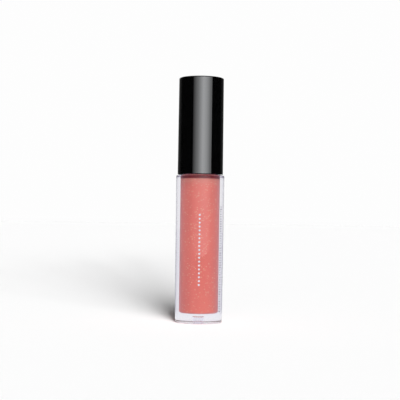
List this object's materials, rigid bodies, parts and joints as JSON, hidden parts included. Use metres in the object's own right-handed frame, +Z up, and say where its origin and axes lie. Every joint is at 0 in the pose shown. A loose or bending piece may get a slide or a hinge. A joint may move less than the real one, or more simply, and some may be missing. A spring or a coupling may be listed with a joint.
{
  "type": "lip gloss tube",
  "caption": "Slim round lip gloss tube: clear thick-walled bottle of pink gloss, black screw cap with a flocked wand applicator inside.",
  "frame": {"origin": "centre of the bottle's foot, on the surface that the tube stands on", "axes": "+Z up the tube from the bottle to the cap, -Y towards the front"},
  "size_m": [0.019, 0.019, 0.0966],
  "materials": {
    "clear_plastic": "clear polished PETG",
    "gloss_liquid": "pearl liquid with a fine golden shimmer",
    "wiper_plastic": "soft natural polyethylene",
    "cap_black": "high gloss moulded",
    "liner_black": "satin moulded polypropylene",
    "washer_foam": "fine foam sheet",
    "wand_plastic": "natural moulded polypropylene",
    "flock": "short nylon flock wetted with gloss"
  },
  "bodies": {
    "bottle": {"bottle": "clear_plastic", "gloss": "gloss_liquid", "wiper": "wiper_plastic"},
    "washer": {"sealing_washer": "washer_foam"},
    "stem": {"stem": "wand_plastic"},
    "cap": {"outer_cap": "cap_black", "inner_cap": "liner_black", "applicator_core": "wand_plastic", "flock_coat": "flock"}
  },
  "joints": [
    {"name": "wand_pull", "type": "slide", "parent": "bottle", "child": "washer", "axis": [0, 0, 1], "range_m": [0, 0.066]},
    {"name": "thread_rise", "type": "slide", "parent": "washer", "child": "stem", "axis": [0, 0, 1], "range_m": [0, 0.0038]},
    {"name": "cap_turn", "type": "hinge", "parent": "stem", "child": "cap", "pos_m": [0, 0, 0.065], "axis": [0, 0, 1], "range_deg": [0, 450]}
  ],
  "couplings": [
    {"joint": "thread_rise", "follows": "cap_turn", "m_per_rad": 0.00047746}
  ]
}
